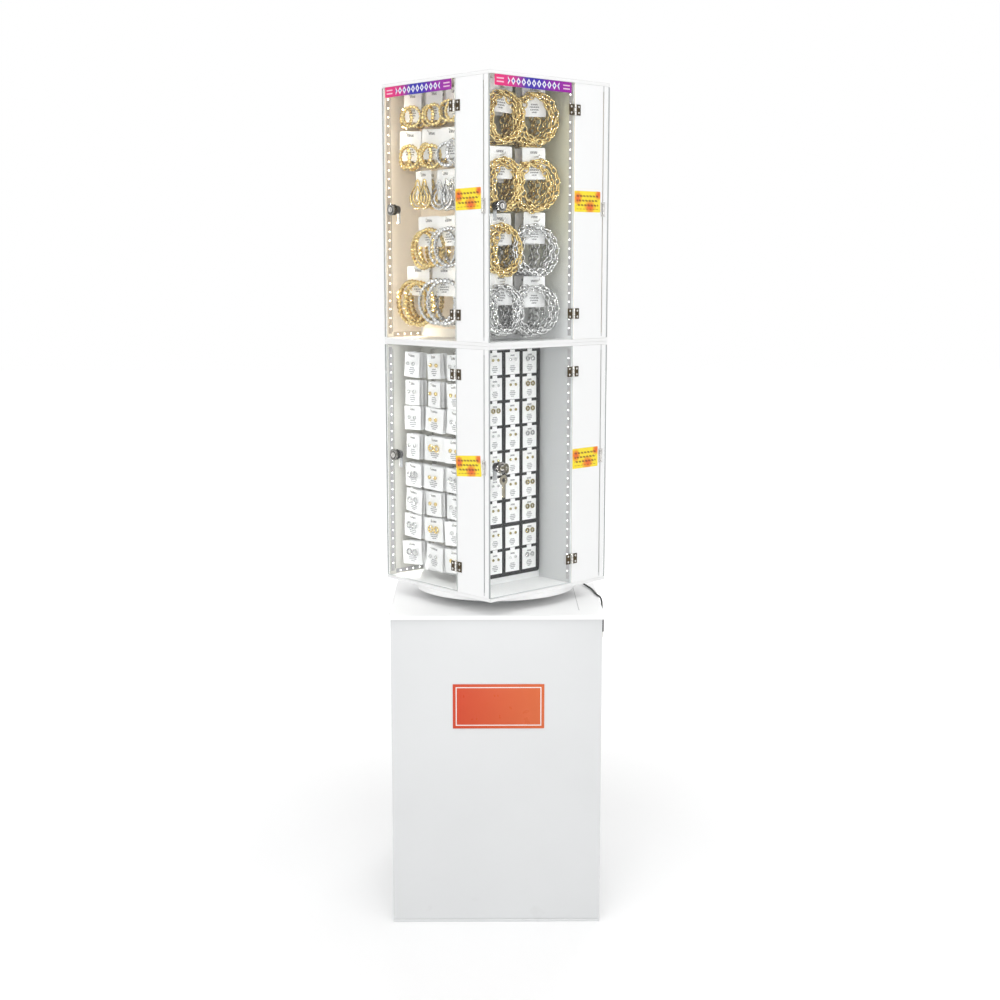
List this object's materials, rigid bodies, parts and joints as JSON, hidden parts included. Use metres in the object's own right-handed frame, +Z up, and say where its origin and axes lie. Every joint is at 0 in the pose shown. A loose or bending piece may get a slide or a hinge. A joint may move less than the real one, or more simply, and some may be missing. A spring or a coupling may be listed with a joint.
{
  "type": "rotating jewelry display case",
  "caption": "Free-standing square pedestal with a turntable and a tall turning tower of glazed, locking display bays set in a pinwheel, with hinged clear doors.",
  "frame": {"origin": "on the floor, under the turntable's axis, at the middle of the base's underside", "axes": "+Z up along the turning axis, -Y out of the base's front panel, +X to the right of someone facing it"},
  "size_m": [0.4364, 0.4364, 1.6045],
  "materials": {
    "white_laminate": "smooth white laminate on board",
    "white_acrylic": "glossy opaque white sheet",
    "clear_acrylic": "polished clear sheet",
    "bronze": "dark antique bronze",
    "nickel": "bright plated",
    "bearing_steel": "plain rolled steel",
    "black_plastic": "satin black",
    "black_rubber": "soft matte black"
  },
  "bodies": {
    "base": {"base_bottom_board": "white_laminate", "base_front_panel": "white_laminate", "base_back_panel": "white_laminate", "base_left_panel": "white_laminate", "base_right_panel": "white_laminate", "base_top_board": "white_laminate", "bearing_lower_ring": "bearing_steel", "slip_ring": "black_plastic", "lead_grommet": "black_rubber", "power_lead": "black_rubber", "lead_connector": "black_plastic"},
    "ball_cage": {"bearing_ball_cage": "bearing_steel"},
    "tower": {"turntable_disc": "white_acrylic", "lower_floor_board": "white_acrylic", "lower_roof_board": "white_acrylic", "upper_floor_board": "white_acrylic", "upper_roof_board": "white_acrylic", "card_rack_1": "black_plastic", "card_rack_3": "black_plastic", "lower_wall_1": "white_acrylic", "lower_hinge_1_bottom": "bronze", "lower_hinge_1_top": "bronze", "lower_wall_2": "white_acrylic", "lower_hinge_2_bottom": "bronze", "lower_hinge_2_top": "bronze", "lower_wall_3": "white_acrylic", "lower_hinge_3_bottom": "bronze", "lower_hinge_3_top": "bronze", "lower_wall_4": "white_acrylic", "lower_hinge_4_bottom": "bronze", "lower_hinge_4_top": "bronze", "upper_wall_1": "white_acrylic", "upper_hinge_1_bottom": "bronze", "upper_hinge_1_top": "bronze", "upper_wall_2": "white_acrylic", "upper_hinge_2_bottom": "bronze", "upper_hinge_2_top": "bronze", "upper_wall_3": "white_acrylic", "upper_hinge_3_bottom": "bronze", "upper_hinge_3_top": "bronze", "upper_wall_4": "white_acrylic", "upper_hinge_4_bottom": "bronze", "upper_hinge_4_top": "bronze"},
    "lower_door_1_body": {"lower_door_1": "clear_acrylic"},
    "lower_lock_1_body": {"lower_lock_1": "nickel"},
    "key_ring_body": {"key_ring": "nickel"},
    "lower_door_2_body": {"lower_door_2": "clear_acrylic"},
    "lower_lock_2_body": {"lower_lock_2": "nickel"},
    "lower_door_3_body": {"lower_door_3": "clear_acrylic"},
    "lower_lock_3_body": {"lower_lock_3": "nickel"},
    "lower_door_4_body": {"lower_door_4": "clear_acrylic"},
    "lower_lock_4_body": {"lower_lock_4": "nickel"},
    "upper_door_1_body": {"upper_door_1": "clear_acrylic"},
    "upper_lock_1_body": {"upper_lock_1": "nickel"},
    "upper_door_2_body": {"upper_door_2": "clear_acrylic"},
    "upper_lock_2_body": {"upper_lock_2": "nickel"},
    "upper_door_3_body": {"upper_door_3": "clear_acrylic"},
    "upper_lock_3_body": {"upper_lock_3": "nickel"},
    "upper_door_4_body": {"upper_door_4": "clear_acrylic"},
    "upper_lock_4_body": {"upper_lock_4": "nickel"}
  },
  "joints": [
    {"name": "tower_turn", "type": "hinge", "parent": "base", "child": "tower", "pos_m": [0, 0, 0.6402], "axis": [0, 0, 1], "continuous": true},
    {"name": "ball_cage_turn", "type": "hinge", "parent": "base", "child": "ball_cage", "pos_m": [0, 0, 0.6211], "axis": [0, 0, 1], "continuous": true},
    {"name": "lower_door_1_swing", "type": "hinge", "parent": "tower", "child": "lower_door_1_body", "pos_m": [0.14898, -0.07704, 0.8782], "axis": [0, 0, 1], "range_deg": [0, 165]},
    {"name": "lower_lock_1_turn", "type": "hinge", "parent": "lower_door_1_body", "child": "lower_lock_1_body", "pos_m": [0.00884, -0.20012, 0.8922], "axis": [-0.6699, 0.7424, 0], "range_deg": [0, 90]},
    {"name": "key_ring_hang", "type": "hinge", "parent": "lower_lock_1_body", "child": "key_ring_body", "pos_m": [0.00884, -0.20012, 0.8922], "axis": [-0.6699, 0.7424, 0], "range_deg": [-90, 0]},
    {"name": "lower_door_2_swing", "type": "hinge", "parent": "tower", "child": "lower_door_2_body", "pos_m": [0.07704, 0.14898, 0.8782], "axis": [0, 0, 1], "range_deg": [0, 165]},
    {"name": "lower_lock_2_turn", "type": "hinge", "parent": "lower_door_2_body", "child": "lower_lock_2_body", "pos_m": [0.20012, 0.00884, 0.8922], "axis": [-0.7424, -0.6699, 0], "range_deg": [0, 90]},
    {"name": "lower_door_3_swing", "type": "hinge", "parent": "tower", "child": "lower_door_3_body", "pos_m": [-0.14898, 0.07704, 0.8782], "axis": [0, 0, 1], "range_deg": [0, 165]},
    {"name": "lower_lock_3_turn", "type": "hinge", "parent": "lower_door_3_body", "child": "lower_lock_3_body", "pos_m": [-0.00884, 0.20012, 0.8922], "axis": [0.6699, -0.7424, 0], "range_deg": [0, 90]},
    {"name": "lower_door_4_swing", "type": "hinge", "parent": "tower", "child": "lower_door_4_body", "pos_m": [-0.07704, -0.14898, 0.8782], "axis": [0, 0, 1], "range_deg": [0, 165]},
    {"name": "lower_lock_4_turn", "type": "hinge", "parent": "lower_door_4_body", "child": "lower_lock_4_body", "pos_m": [-0.20012, -0.00884, 0.8922], "axis": [0.7424, 0.6699, 0], "range_deg": [0, 90]},
    {"name": "upper_door_1_swing", "type": "hinge", "parent": "tower", "child": "upper_door_1_body", "pos_m": [0.14898, -0.07704, 1.3605], "axis": [0, 0, 1], "range_deg": [0, 165]},
    {"name": "upper_lock_1_turn", "type": "hinge", "parent": "upper_door_1_body", "child": "upper_lock_1_body", "pos_m": [0.00884, -0.20012, 1.3685], "axis": [-0.6699, 0.7424, 0], "range_deg": [0, 90]},
    {"name": "upper_door_2_swing", "type": "hinge", "parent": "tower", "child": "upper_door_2_body", "pos_m": [0.07704, 0.14898, 1.3605], "axis": [0, 0, 1], "range_deg": [0, 165]},
    {"name": "upper_lock_2_turn", "type": "hinge", "parent": "upper_door_2_body", "child": "upper_lock_2_body", "pos_m": [0.20012, 0.00884, 1.3685], "axis": [-0.7424, -0.6699, 0], "range_deg": [0, 90]},
    {"name": "upper_door_3_swing", "type": "hinge", "parent": "tower", "child": "upper_door_3_body", "pos_m": [-0.14898, 0.07704, 1.3605], "axis": [0, 0, 1], "range_deg": [0, 165]},
    {"name": "upper_lock_3_turn", "type": "hinge", "parent": "upper_door_3_body", "child": "upper_lock_3_body", "pos_m": [-0.00884, 0.20012, 1.3685], "axis": [0.6699, -0.7424, 0], "range_deg": [0, 90]},
    {"name": "upper_door_4_swing", "type": "hinge", "parent": "tower", "child": "upper_door_4_body", "pos_m": [-0.07704, -0.14898, 1.3605], "axis": [0, 0, 1], "range_deg": [0, 165]},
    {"name": "upper_lock_4_turn", "type": "hinge", "parent": "upper_door_4_body", "child": "upper_lock_4_body", "pos_m": [-0.20012, -0.00884, 1.3685], "axis": [0.7424, 0.6699, 0], "range_deg": [0, 90]}
  ],
  "couplings": [
    {"joint": "ball_cage_turn", "follows": "tower_turn", "ratio": 0.5},
    {"joint": "key_ring_hang", "follows": "lower_lock_1_turn", "ratio": -1}
  ]
}
